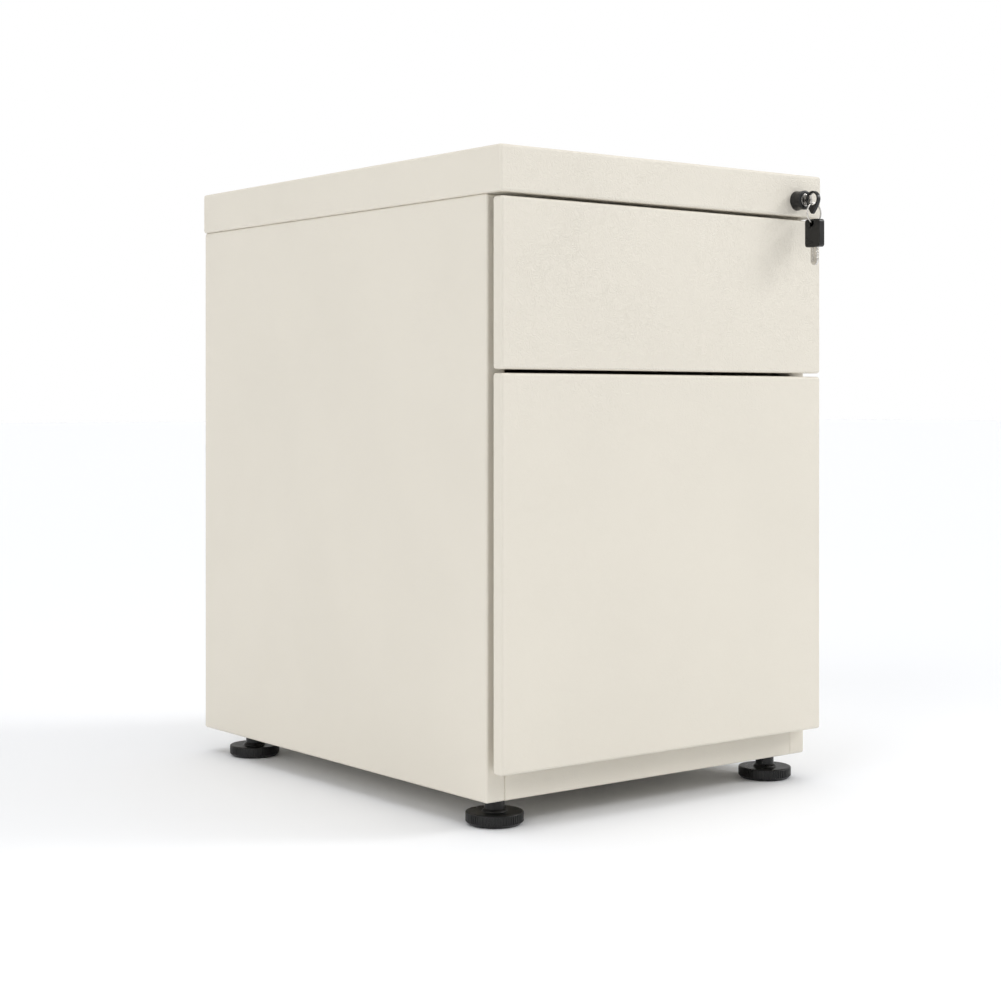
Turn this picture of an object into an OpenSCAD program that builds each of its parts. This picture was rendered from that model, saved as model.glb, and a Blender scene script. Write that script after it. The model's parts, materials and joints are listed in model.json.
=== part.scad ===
// Two-drawer metal filing pedestal with levelling feet, a central lock and its keys.
// Millimetres, +Z up. The origin is on the floor, under the middle of the whole
// object, keys included. Modules are drawn from the plane of the drawer fronts
// (y = 0, backwards is +Y) and at_front() moves them to their place.

/* [Cabinet] */
// Overall width, over the top cover
cabinet_w = 370; // [300:5:460]
// Overall depth, from the drawer fronts to the back
cabinet_d = 480; // [400:5:620]
// Overall height, feet included
cabinet_h = 550; // [450:5:720]
// Height of the top cover's skirt
cover_h = 38; // [32:1:50]
// How far the top cover stands out from the side and back panels
cover_lip = 1; // [0:0.5:3]
// Sheet thickness of the top cover
cover_t = 1.5; // [1:0.1:2]
// Sheet thickness of the panels
sheet_t = 1.2; // [0.8:0.1:1.6]
// Outside radius of the sheet bends
bend_r = 2.5; // [2:0.1:4]
// Width of the panels' return flanges
flange_w = 20; // [18:0.5:26]
// Depth of the lip behind the front flanges
lip_d = 14; // [12:0.5:15]
// Height of the base rail seen under the lower drawer
base_rail_h = 25; // [22:1:40]

/* [Drawers] */
// Height of the upper drawer's front
upper_front_h = 138; // [125:1:170]
// Thickness of the drawer fronts
front_t = 12; // [10:0.5:16]
// Gap between the fronts, and under the top cover
front_gap = 3; // [2:0.5:5]
// Gap behind the fronts, for the fingers
grip_gap = 8; // [6:0.5:12]
// Sheet thickness of the drawer boxes
box_t = 1; // [0.8:0.1:1.4]
// Height of the upper drawer's box
upper_box_h = 75; // [60:1:80]
// Room above the lower drawer's box
lower_box_room = 64; // [50:1:90]
// Distance between the two hanging-file bars
file_pitch = 330; // [240:5:400]

/* [Runners] */
// Thickness of a runner, between bracket and drawer box
runner_w = 12.7; // [12:0.1:14]
// Height of the upper drawer's runners
upper_runner_h = 35; // [32:1:38]
// Height of the lower drawer's ball-bearing runners
lower_runner_h = 45; // [43:1:50]
// Diameter of the bearing balls
ball_d = 3; // [2.4:0.1:3.2]
// Step between stock lengths of runner
runner_step = 50; // [25:25:50]

/* [Feet] */
// Height of the cabinet's underside above the floor
foot_h = 23; // [20:0.5:35]
// Diameter of a foot's pad
pad_d = 48; // [36:1:56]
// Diameter of a foot's stem
stem_d = 16.6; // [14:0.2:20]
// Diameter of the threaded stud
stud_d = 8; // [6:1:10]
// Distance of the feet from the sides
foot_in = 28; // [26:1:60]
// Room between the front lips and the front feet's sockets
foot_room = 1.5; // [0.5:0.5:24]
// Distance of the rear feet from the back
foot_back = 52; // [40:1:80]

/* [Lock] */
// Distance of the lock from the right-hand edge
lock_in = 32; // [30:0.5:36]
// Height of the lock above the top cover's lower edge
lock_up = 14; // [13:0.5:16]
// Outside diameter of the lock barrel
barrel_d = 17.5; // [16:0.5:20]
// How far the lock barrel stands out
barrel_out = 11.5; // [8:0.5:14]
// Diameter of the turning core
core_d = 11; // [10:0.5:12]
// Eccentricity of the cam's pin
cam_r = 6; // [5:0.5:6.5]
// Width of the lock bar
bar_w = 12; // [10:0.5:13]
// Thickness of the lock bar
bar_t = 2; // [1.5:0.1:2.5]

/* [Keys] */
// Thickness of the key blades
blade_t = 2; // [1.6:0.1:2.4]
// Width of the key blades
blade_w = 7.8; // [6.5:0.1:8]
// Outside diameter of the fixed key's bow
bow_d = 14.8; // [13:0.2:18]
// Outside diameter of the split ring
ring_d = 19; // [19:0.5:26]
// Wire diameter of the split ring
ring_wire = 1.6; // [1.2:0.1:1.8]
// Width of the spare key's head
head_w = 17.6; // [14:0.2:20]
// Height of the spare key's head
head_h = 24.8; // [20:0.2:30]
// Thickness of the spare key's head
head_t = 6; // [4:0.2:7]

/* [Hidden] */
$fn = 48;
eps = 1;                // how far a cut runs past the face it opens
fit = 0.05;             // radial clearance of a turning or sliding fit
gap = 0.3;              // clearance between pieces that pass each other
seat = 0.2;             // play between panels that lie side by side
bend_in = bend_r - sheet_t;  // inside radius of the panels' bends
cream = [0.88, 0.86, 0.81];
zinc = [0.72, 0.73, 0.75];
black = [0.12, 0.12, 0.13];
nickel = [0.80, 0.80, 0.79];
nylon = [0.90, 0.90, 0.86];

// Keys
bow_rim = 2;
bow_gap = 0.9;
bow_y = -(barrel_out + bow_gap + bow_d / 2);
ring_y = bow_y - 1.1;
head_y = ring_y - 0.7;
head_front = head_y - head_w / 2;
head_hole_d = 5.2;
head_top_wall = 1.6;
key_reach = -head_front;
front_y = (key_reach - cabinet_d) / 2;

// Cabinet levels, widths and depths, measured from the drawer fronts and the floor
half_w = cabinet_w / 2;
body_x = half_w - cover_lip;
inner_x = body_x - sheet_t;
open_x = body_x - flange_w;
body_z = foot_h;
body_top = cabinet_h - cover_h;
body_front = front_t + grip_gap;
body_back = cabinet_d - cover_lip;
lip_back = body_front + lip_d;
cover_side_flange = 12;
cover_front_flange = body_front + flange_w;
top_flange_y = lip_back + 6;
floor_z = body_z + sheet_t;

// Fronts
upper_top = body_top - front_gap;
upper_low = upper_top - upper_front_h;
lower_top = upper_low - front_gap;
lower_low = body_z + base_rail_h;
hem = 14;
liner_y = front_t - 2 * sheet_t;
liner_back = liner_y + sheet_t;

// Drawer boxes
box_x = open_x - runner_w;
box_rise = 16;
upper_box_z = upper_low + box_rise;
lower_box_z = lower_low + box_rise;
lower_box_h = lower_top - lower_box_room - lower_box_z;
runner_y = lip_back + 2;
rear_room = 30;
runner_len = runner_step * floor((body_back - runner_y - rear_room) / runner_step);
box_back = runner_y + runner_len + 6;
upper_runner_z = upper_box_z + 22;
lower_runner_z = lower_box_z + 90;
upper_travel = runner_len - 100;
lower_travel = runner_len;
file_front_y = 26;
file_pitch_used = min(file_pitch, box_back - file_front_y - 20);

// Ball-bearing runner, from the bracket (0) to the drawer box (runner_w)
rail_t = 1.2;
rail_gap = 0.4;
cage_t = 0.6;
ball_play = gap;
race_h = ball_d + 2 * ball_play;
outer_web = rail_t;
cage1_x = outer_web + rail_gap;
middle_x = cage1_x + cage_t + rail_gap;
cage2_x = middle_x + rail_t + rail_gap;
inner_lip_x = cage2_x + cage_t + rail_gap;
outer_half = lower_runner_h / 2;
outer_in = outer_half - rail_t;
middle_half = outer_in - race_h;
middle_in = middle_half - rail_t;
inner_half = middle_in - race_h;
ball1_x = 5.5;
ball2_x = 7.5;
cage_end_room = 5;
cage_len = runner_len / 2 - 2 * cage_end_room;
ball_pitch = 26;

// Plain runner of the upper drawer
plain_half = upper_runner_h / 2;
glide_h = 2.5;
glide_len = 30;
plain_in = plain_half - rail_t;
plain_inner_half = plain_in - glide_h - gap;
plain_lip_x = 4;
plain_reach = 9;

// Feet
pad_h = 10.5;
pad_chamfer = 2.5;
collar_d = stem_d + 4.4;
stem_top = foot_h - 0.2;
stud_low = 14;
stud_len = 36;
boss_d = stud_d + 7;
boss_h = 18;
socket_plate = [40, 32, 2];
foot_x = half_w - foot_in;
socket_front = stud_d / 2 + 4.5;
foot_ys = [lip_back + foot_room + socket_front, cabinet_d - foot_back];

// Lock
lock_x = half_w - lock_in;
lock_z = body_top + lock_up;
core_back = 21.5;
cam_t = 2;
cam_pin_d = 4;
bar_y = core_back + cam_t + 1.5;
bar_x = open_x + bend_r + 1.5;
bar_low = lower_low + 10;
bar_top = lock_z + 8;
pin_rest_x = lock_x - cam_r * cos(45);
pin_rest_z = lock_z - cam_r * sin(45);
bar_rise = 2 * cam_r * sin(45);
slot_play = 0.4;
finger_h = 6;
finger_reach = open_x - 10;
stud_pin_d = 6;
stud_y = bar_y + bar_t + 2 + stud_pin_d / 2;
upper_stud_z = upper_box_z + upper_box_h - 16;
lower_stud_z = lower_box_z + lower_box_h - 20;
stud_zs = [upper_stud_z, lower_stud_z];
barrel_back = 18;
nut_af = 22;
guide_zs = [lower_runner_z + 40, upper_runner_z];
guide_h = 16;
guide_t = 1.2;
keyway = [blade_t + 0.6, blade_w + 0.6];
blade_in = 20;
blade_bow_end = bow_y + 2.3;

// Ring and spare key hang from the bow's tail
bow_hole_low = lock_z - bow_d / 2 + bow_rim;
ring_hang = 0.7;
ring_z = bow_hole_low + ring_hang + ring_wire - ring_d / 2;
wire_low_z = ring_z - ring_d / 2 + ring_wire / 2;
head_hole_z = wire_low_z - 1;
head_top = head_hole_z + head_hole_d / 2 + head_top_wall;
head_low = head_top - head_h;
spare_blade_len = 16;
spare_tang = 5;

screw_d = 4;
screw_head_d = 8;
screw_head_h = 2.2;
buffer_d = 8;

// ---------- helpers ----------

module at_front() {
    translate([0, front_y, 0]) children();
}

// A box from its low corner to its high corner
module block(low, high) {
    translate(low) cube(high - low);
}

// A cylinder along +Y, +X or +Z from a point
module rod_y(p, d, l) {
    translate(p) rotate([-90, 0, 0]) cylinder(d = d, h = l);
}

module rod_x(p, d, l) {
    translate(p) rotate([0, 90, 0]) cylinder(d = d, h = l);
}

module rod_z(p, d, l) {
    translate(p) cylinder(d = d, h = l);
}

// An outline in (y, z) drawn out along X
module along_x(x0, x1) {
    translate([x0, 0, 0]) rotate([90, 0, 90]) linear_extrude(x1 - x0) children();
}

// An outline in (x, z) drawn out along Y
module along_y(y0, y1) {
    translate([0, y1, 0]) rotate([90, 0, 0]) linear_extrude(y1 - y0) children();
}

// A rectangle with round corners, from its low corner to its high corner
module round_rect(low, high, r) {
    translate([low.x + r, low.y]) square([high.x - low.x - 2 * r, high.y - low.y]);
    translate([low.x, low.y + r]) square([high.x - low.x, high.y - low.y - 2 * r]);
    for (x = [low.x + r, high.x - r])
        for (y = [low.y + r, high.y - r])
            translate([x, y]) circle(r);
}

// A box whose twelve edges are rounded
module round_box(low, high, r) {
    intersection() {
        translate([0, 0, low.z]) linear_extrude(high.z - low.z)
            round_rect([low.x, low.y], [high.x, high.y], r);
        along_x(low.x, high.x) round_rect([low.y, low.z], [high.y, high.z], r);
        along_y(low.y, high.y) round_rect([low.x, low.z], [high.x, high.z], r);
    }
}

// A closed folded shell of sheet t
module folded_shell(low, high, t) {
    difference() {
        round_box(low, high, bend_r);
        round_box(low + [t, t, t], high - [t, t, t], bend_r - t);
    }
}

// Shows its children on the right-hand side, or mirrored on the left
module side(s) {
    if (s > 0) children();
    else mirror([1, 0, 0]) children();
}

// ---------- carcass ----------

module top_cover() {
    z0 = body_top;
    color(cream) at_front() difference() {
        folded_shell([-half_w, 0, z0], [half_w, cabinet_d, cabinet_h], cover_t);
        block([-(inner_x - cover_side_flange), cover_front_flange, z0 - eps],
              [inner_x - cover_side_flange, cabinet_d - cover_side_flange, z0 + 5]);
        // the lock's hole, and a slot for the lock bar
        rod_y([lock_x, -eps, lock_z], barrel_body_d() + 2 * seat, cover_t + 2 * eps);
        block([bar_x - 2, bar_y - 2, z0 - eps], [bar_x + bar_w + 2, bar_y + bar_t + 2, z0 + 5]);
        cover_screw_places() rod_z([0, 0, z0 - eps], screw_d + 2 * seat, 5 + eps);
    }
}

module cover_screw_places() {
    for (x = [-1, 1] * (body_x - 7))
        for (y = [top_flange_y + 40, body_back - 80])
            translate([x, y, 0]) children();
}

// The right-hand side panel: outer wall, front flange with its lip, rear flange,
// top and bottom flanges
module side_sheet() {
    difference() {
        union() {
            translate([0, 0, body_z]) linear_extrude(body_top - body_z) difference() {
                round_rect([open_x, body_front], [body_x, body_back], bend_r);
                round_rect([open_x + sheet_t, body_front + sheet_t],
                           [inner_x, body_back - sheet_t], bend_r - sheet_t);
                translate([open_x - eps, lip_back])
                    square([bend_r + eps, body_back - lip_back + eps]);
            }
            block([open_x, body_front + sheet_t, body_z],
                  [inner_x + 0.1, body_back - 0.1, floor_z]);
            block([open_x - 2, top_flange_y, body_top - sheet_t],
                  [inner_x + 0.1, body_back - 0.1, body_top]);
        }
        cover_screw_places() rod_z([0, 0, body_top - 5], screw_d + 2 * seat, 5 + eps);
        back_rivet_places() rod_y([0, body_back - 5, 0], screw_d, 5 + eps);
        for (y = foot_ys) rod_z([foot_x, y, body_z - eps], stud_d + 2, 5);
    }
}

module left_side_panel() {
    color(cream) at_front() mirror([1, 0, 0]) side_sheet();
}

module right_side_panel() {
    color(cream) at_front() difference() {
        side_sheet();
        // windows that the lock bar's fingers reach through
        for (z = stud_zs)
            block([open_x - eps, bar_y - 1, finger_rest_low(z) - 1.5],
                  [open_x + sheet_t + eps, bar_y + bar_t + 1,
                   finger_rest_low(z) + finger_h + bar_rise + 1.5]);
    }
}

module back_rivet_places() {
    for (x = [-1, 1] * (body_x - 9))
        for (k = [0:3])
            translate([x, 0, body_z + 40 + k * (body_top - body_z - 80) / 3]) children();
}

module back_panel() {
    y1 = body_back - sheet_t;
    color(cream) at_front() difference() {
        block([-inner_x + bend_in + seat, y1 - sheet_t, floor_z + seat],
              [inner_x - bend_in - seat, y1, body_top - sheet_t - seat]);
        back_rivet_places() rod_y([0, y1 - 5, 0], screw_d, 5 + eps);
    }
}

module bottom_panel() {
    color(cream) at_front() difference() {
        block([-inner_x + seat, body_front + sheet_t + seat, floor_z],
              [inner_x - seat, body_back - 2 * sheet_t - bend_in - seat, floor_z + sheet_t]);
        for (x = [-foot_x, foot_x])
            for (y = foot_ys)
                rod_z([x, y, body_z - eps], stud_d + 2, 5);
        // corners cleared for the lips behind the front flanges
        for (s = [-1, 1]) side(s)
            block([open_x - seat, body_front, body_z - eps],
                  [inner_x + eps, lip_back + seat, floor_z + sheet_t + eps]);
    }
}

// A channel between the side panels: web at the front, flanges behind it
module front_channel(z0, z1, low_depth, high_depth) {
    x = open_x - seat;
    y = body_front;
    block([-x, y, z0], [x, y + sheet_t, z1]);
    block([-x, y, z0], [x, y + low_depth, z0 + sheet_t]);
    block([-x, y, z1 - sheet_t], [x, y + high_depth, z1]);
}

module front_base_rail() {
    color(cream) at_front()
        front_channel(body_z, lower_low + box_rise / 2, flange_w - 4, lip_d);
}

module top_front_rail() {
    color(cream) at_front()
        front_channel(body_top - 22, body_top, lip_d, top_flange_y - body_front - seat);
}

module runner_bracket(s, z, h) {
    half = h / 2;
    y0 = runner_y + 2;
    y1 = runner_y + runner_len - 2;
    side(s) difference() {
        block([open_x, y0, z - half - sheet_t], [inner_x, y1, z + half + sheet_t]);
        block([open_x + sheet_t, y0 - eps, z - half], [inner_x + eps, y1 + eps, z + half]);
    }
}

module runner_brackets(s) {
    color(cream) at_front() {
        runner_bracket(s, upper_runner_z, upper_runner_h);
        runner_bracket(s, lower_runner_z, lower_runner_h);
    }
}

// ---------- runners ----------

// A channel from x0 to x1 across, half tall either way, its web towards web_x,
// placed on the right-hand side with x measured from the bracket inwards
module rail(s, z, x0, x1, half, web_x, y0, y1) {
    side(s) translate([open_x, 0, z]) mirror([1, 0, 0]) difference() {
        block([x0, y0, -half], [x1, y1, half]);
        block([web_x == x0 ? x0 + rail_t : x0 - eps, y0 - eps, -half + rail_t],
              [web_x == x0 ? x1 + eps : x1 - rail_t, y1 + eps, half - rail_t]);
    }
}

module plain_runner(s) {
    color(zinc) at_front()
        rail(s, upper_runner_z, 0, plain_reach, plain_half, 0,
             runner_y, runner_y + runner_len);
}

module plain_drawer_runner(s) {
    color(zinc) at_front()
        rail(s, upper_runner_z, plain_lip_x, runner_w, plain_inner_half, runner_w,
             runner_y, runner_y + runner_len);
}

// Nylon blocks: the front pair lies in the cabinet's runners, the rear pair on
// the drawer's runners
module glide_pair(x0, x1, z0, y0) {
    for (s = [-1, 1])
        for (m = [-1, 1])
            side(s) translate([open_x - x1, y0, upper_runner_z])
                block([0, 0, m > 0 ? z0 : -z0 - glide_h],
                      [x1 - x0, glide_len, m > 0 ? z0 + glide_h : -z0]);
}

module front_glide_blocks() {
    color(nylon) at_front()
        glide_pair(rail_t, plain_reach, plain_in - glide_h, runner_y + 2);
}

module rear_glide_blocks() {
    color(nylon) at_front()
        glide_pair(plain_lip_x, plain_reach, plain_inner_half,
                   runner_y + runner_len - glide_len - 2);
}

module outer_rail(s) {
    color(zinc) at_front()
        rail(s, lower_runner_z, 0, 9.5, outer_half, 0, runner_y, runner_y + runner_len);
}

module middle_rail(s) {
    color(zinc) at_front()
        rail(s, lower_runner_z, middle_x, 10.2, middle_half, middle_x,
             runner_y, runner_y + runner_len);
}

module inner_rail(s) {
    color(zinc) at_front()
        rail(s, lower_runner_z, inner_lip_x, runner_w, inner_half, runner_w,
             runner_y, runner_y + runner_len);
}

// A bent strip that holds a row of balls above and a row below
module ball_cage(s, x0, ball_x, ball_z) {
    half = ball_z + cage_t / 2;
    n = floor((cage_len - 20) / ball_pitch);
    side(s) translate([open_x, runner_y + runner_len / 4 + cage_end_room, lower_runner_z])
        mirror([1, 0, 0]) {
            difference() {
                block([x0, 0, -half], [ball_x + 2.4, cage_len, half]);
                block([x0 + cage_t, -eps, -half + cage_t],
                      [ball_x + 3.4, cage_len + eps, half - cage_t]);
            }
            for (m = [-1, 1])
                for (k = [0:n])
                    translate([ball_x, 10 + k * ball_pitch, m * ball_z]) sphere(d = ball_d);
        }
}

module outer_ball_cages() {
    color(zinc) at_front()
        for (s = [-1, 1]) ball_cage(s, cage1_x, ball1_x, (outer_in + middle_half) / 2);
}

module inner_ball_cages() {
    color(zinc) at_front()
        for (s = [-1, 1]) ball_cage(s, cage2_x, ball2_x, (middle_in + inner_half) / 2);
}

// ---------- lock ----------

function barrel_body_d() = barrel_d - 1.5;
function finger_rest_low(z) = z - stud_pin_d / 2 - 1 - finger_h;

module lock_barrel() {
    r = barrel_d / 2;
    waist = 0.5;
    color(black) at_front() translate([lock_x, 0, lock_z]) rotate([-90, 0, 0])
        rotate_extrude() polygon([
            [core_d / 2 + fit, -barrel_out + 0.5],
            [core_d / 2 + 0.6, -barrel_out],
            [r - 0.9, -barrel_out],
            [r - 0.2, -barrel_out + 0.8],
            [r - 0.1, -barrel_out + 2.5],
            [r - waist, -barrel_out * 0.55],
            [r - 0.1, -1.5],
            [r, 0],
            [barrel_body_d() / 2, 0],
            [barrel_body_d() / 2, barrel_back],
            [core_d / 2 + fit, barrel_back]]);
}

module lock_nut() {
    across = nut_af / cos(30);
    color(zinc) at_front() translate([lock_x, cover_t, lock_z]) rotate([-90, 0, 0])
        difference() {
            cylinder(d = across, h = 4, $fn = 6);
            translate([0, 0, -eps]) cylinder(d = barrel_body_d() + 2 * fit, h = 4 + 2 * eps);
        }
}

module lock_core() {
    color(nickel) at_front() difference() {
        rod_y([lock_x, -barrel_out + 0.4, lock_z], core_d, core_back + barrel_out - 0.4);
        block([lock_x - keyway.x / 2, -barrel_out - eps, lock_z - keyway.y / 2],
              [lock_x + keyway.x / 2, blade_in + 0.5, lock_z + keyway.y / 2]);
    }
}

module lock_cam() {
    color(zinc) at_front() {
        rod_y([lock_x, core_back, lock_z], 2 * cam_r + cam_pin_d + 2, cam_t);
        rod_y([pin_rest_x, core_back + cam_t - 0.5, pin_rest_z], cam_pin_d,
              bar_y + bar_t + 1.5 - core_back - cam_t);
    }
}

// A strip with a slotted head over the cam and a finger for each drawer
module lock_bar() {
    pin_left = lock_x - cam_r - cam_pin_d / 2 - slot_play;
    pin_right = pin_rest_x + cam_pin_d / 2 + slot_play;
    head_low_z = pin_rest_z - cam_pin_d / 2 - 3;
    color(zinc) at_front() along_y(bar_y, bar_y + bar_t) difference() {
        union() {
            translate([bar_x, bar_low]) square([bar_w, bar_top - bar_low]);
            translate([pin_left - 3, head_low_z])
                square([bar_x + bar_w - pin_left + 3, bar_top - head_low_z]);
            for (z = stud_zs)
                translate([finger_reach, finger_rest_low(z)])
                    square([bar_x - finger_reach + 1, finger_h]);
        }
        translate([pin_left, pin_rest_z - cam_pin_d / 2 - slot_play])
            square([pin_right - pin_left, cam_pin_d + 2 * slot_play]);
    }
}

// Bridges over the lock bar, rounded to lie in the front flange's bends
module lock_bar_guides() {
    y0 = body_front + sheet_t;
    y1 = bar_y + bar_t + 0.5;
    color(zinc) at_front()
        for (z = guide_zs) difference() {
            translate([0, 0, z]) linear_extrude(guide_h)
                round_rect([open_x + sheet_t + seat, y0],
                           [inner_x - seat, y1 + guide_t + bend_in], bend_in);
            block([bar_x - 0.5, body_front, z - eps],
                  [bar_x + bar_w + 0.5, y1, z + guide_h + eps]);
            block([open_x, y1 + guide_t, z - eps],
                  [inner_x, y1 + guide_t + 2 * bend_in, z + guide_h + eps]);
        }
}

// ---------- keys ----------

// A flat blade with a round tip and cut bitting, in (y, z), pointing to +Y
module blade_outline(l, w) {
    depth = w * 0.16;
    difference() {
        union() {
            translate([0, -w / 2]) square([l - w / 2, w]);
            translate([l - w / 2, 0]) circle(w / 2);
        }
        for (k = [0:3])
            translate([l * 0.35 + k * l * 0.15, w / 2])
                polygon([[-1.4, eps], [-0.5, -depth * (1 + k % 2) / 2],
                         [0.5, -depth * (1 + k % 2) / 2], [1.4, eps]]);
    }
}

module key_blade() {
    color(nickel) at_front() translate([lock_x - blade_t / 2, blade_bow_end, lock_z])
        along_x(0, blade_t) blade_outline(blade_in - blade_bow_end, blade_w);
}

module key_bow() {
    r = bow_d / 2;
    color(black) at_front() difference() {
        translate([lock_x, bow_y, lock_z]) {
            rotate([0, 90, 0]) rotate_extrude()
                translate([r - bow_rim, -2]) square([bow_rim, 4]);
            hull() {
                for (y = [-0.5, 0.5] * r) translate([0, y, -r + 0.3]) sphere(1.5, $fn = 24);
                translate([0, 0.5, -r - 4.8]) sphere(1.2, $fn = 24);
            }
        }
        block([lock_x - blade_t / 2 - 0.1, bow_y, lock_z - blade_w / 2 - 0.1],
              [lock_x + blade_t / 2 + 0.1, 0, lock_z + blade_w / 2 + 0.1]);
    }
}

module split_ring() {
    color(nickel) at_front() translate([lock_x, ring_y, ring_z]) rotate([90, 0, 0])
        rotate_extrude() translate([(ring_d - ring_wire) / 2, 0]) circle(d = ring_wire);
}

module spare_key_blade() {
    color(nickel) at_front()
        translate([lock_x - blade_t / 2, head_y, head_low + spare_tang])
            along_x(0, blade_t) rotate(-90)
                blade_outline(spare_blade_len + spare_tang, blade_w);
}

module spare_key_head() {
    color(black) at_front() difference() {
        along_x(lock_x - head_t / 2, lock_x + head_t / 2) difference() {
            round_rect([head_y - head_w / 2, head_low], [head_y + head_w / 2, head_top], 3);
            translate([ring_y, head_hole_z]) circle(d = head_hole_d);
        }
        block([lock_x - blade_t / 2 - 0.1, head_y - blade_w / 2 - 0.1, head_low - eps],
              [lock_x + blade_t / 2 + 0.1, head_y + blade_w / 2 + 0.1,
               head_low + spare_tang + 0.1]);
    }
}

// ---------- drawers ----------

// A pan-shaped front with a hem turned in all round its back
module front_skin(z0, z1) {
    color(cream) at_front() difference() {
        folded_shell([-body_x, 0, z0], [body_x, front_t, z1], sheet_t);
        block([-body_x + hem, front_t - 3, z0 + hem], [body_x - hem, front_t + eps, z1 - hem]);
    }
}

module front_screw_places(z0, h) {
    for (x = [-1, 1] * (box_x - 26))
        for (z = [z0 + 14, z0 + h - 14])
            translate([x, 0, z]) children();
}

module front_liner(z0, z1, box_z, box_h) {
    side_gap = bend_r + seat;
    color(cream) at_front() difference() {
        block([-body_x + side_gap, liner_y, z0 + side_gap],
              [body_x - side_gap, liner_back, z1 - side_gap]);
        front_screw_places(box_z, box_h)
            rod_y([0, liner_y - eps, 0], screw_d + 2 * seat, 5);
    }
}

module front_wall_holes(z0, h) {
    front_screw_places(z0, h) rod_y([0, liner_back - eps, 0], screw_d + 2 * seat, 5);
}

// Bottom, sides and front wall of the lower drawer's box, in one sheet
module lower_drawer_tray(z0, h) {
    color(cream) at_front() difference() {
        block([-box_x, liner_back, z0], [box_x, box_back, z0 + h]);
        block([-box_x + box_t, liner_back + box_t, z0 + box_t],
              [box_x - box_t, box_back + eps, z0 + h + eps]);
        front_wall_holes(z0, h);
    }
}

// Bottom and sides of the upper drawer's box
module upper_drawer_tray(z0, h) {
    color(cream) at_front() difference() {
        block([-box_x, liner_back, z0], [box_x, box_back, z0 + h]);
        block([-box_x + box_t, liner_back - eps, z0 + box_t],
              [box_x - box_t, box_back + eps, z0 + h + eps]);
    }
}

// Front wall of the upper drawer's box, welded in between its sides
module upper_box_front(z0, h) {
    color(cream) at_front() difference() {
        block([-box_x + box_t, liner_back, z0 + box_t],
              [box_x - box_t, liner_back + box_t, z0 + h]);
        front_wall_holes(z0, h);
    }
}

module drawer_back(z0, h) {
    x = box_x - box_t - seat;
    color(cream) at_front() {
        block([-x, box_back - box_t, z0 + box_t + seat], [x, box_back, z0 + h]);
        // turned-in edge along the top
        block([-x, box_back - 10, z0 + h - box_t], [x, box_back, z0 + h]);
    }
}

module front_screws(z0, h) {
    y = liner_back + box_t;
    color(zinc) at_front() front_screw_places(z0, h) {
        rod_y([0, liner_y - 4, 0], screw_d, y - liner_y + 4);
        rod_y([0, y, 0], screw_head_d, screw_head_h);
    }
}

module lock_stud(z) {
    plate = 1.5;
    color(zinc) at_front() {
        block([box_x, stud_y - 6, z - 9], [box_x + plate, stud_y + 6, z + 9]);
        rod_x([box_x + plate - 0.5, stud_y, z], stud_pin_d, finger_reach + 6.5 - box_x - plate);
    }
}

module file_bars() {
    z1 = lower_box_z + lower_box_h - 2;
    x = box_x - box_t - seat;
    color(zinc) at_front()
        for (y = [file_front_y, file_front_y + file_pitch_used]) {
            block([-x, y, z1 - 14], [x, y + 2.5, z1]);
            for (s = [-1, 1]) side(s)
                block([x - 1.2, y - 8, z1 - 14], [x, y + 10.5, z1]);
        }
}

// ---------- small pieces ----------

module cover_screws() {
    z = body_top - sheet_t;
    color(zinc) at_front() cover_screw_places() {
        rod_z([0, 0, z - screw_head_h], screw_head_d, screw_head_h);
        rod_z([0, 0, z - 0.5], screw_d, 8);
    }
}

module back_rivets() {
    color(zinc) at_front() back_rivet_places() {
        rod_y([0, body_back - 2 * sheet_t - 2, 0], screw_d - 2 * fit, 2 * sheet_t + 2.5);
        rod_y([0, body_back, 0], screw_head_d, max(0.3, min(0.8, cover_lip - 0.2)));
    }
}

module closing_buffers() {
    color(black) at_front()
        for (x = [-1, 1] * (body_x - 10))
            for (z = [upper_top - hem, lower_top - hem])
                rod_y([x, front_t + gap, z], buffer_d, grip_gap - gap);
}

module foot_sockets() {
    z = floor_z + sheet_t;
    color(zinc) at_front()
        for (x = [-foot_x, foot_x])
            for (y = foot_ys) translate([x, y, z]) difference() {
                union() {
                    cylinder(d = boss_d, h = socket_plate.z + boss_h);
                    translate([-socket_plate.x / 2, -socket_front, 0]) cube(socket_plate);
                }
                translate([0, 0, -eps])
                    cylinder(d = stud_d, h = socket_plate.z + boss_h + 2 * eps);
            }
}

module foot_pad(x, y) {
    r = pad_d / 2;
    color(black) at_front() translate([x, y, 0]) rotate_extrude($fn = 96) polygon([
        [0, 0],
        [r - pad_chamfer, 0],
        [r, pad_chamfer],
        [r, pad_h - 1],
        [r - 1, pad_h],
        [collar_d / 2, pad_h],
        [collar_d / 2 - 0.6, pad_h + 1.6],
        [stem_d / 2, pad_h + 2.2],
        [stem_d / 2, stem_top],
        [stud_d / 2, stem_top],
        [stud_d / 2, stud_low],
        [0, stud_low]]);
}

module foot_stud(x, y) {
    color(zinc) at_front() rod_z([x, y, stud_low], stud_d - 2 * fit, stud_len);
}

// ---------- the whole ----------

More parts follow.
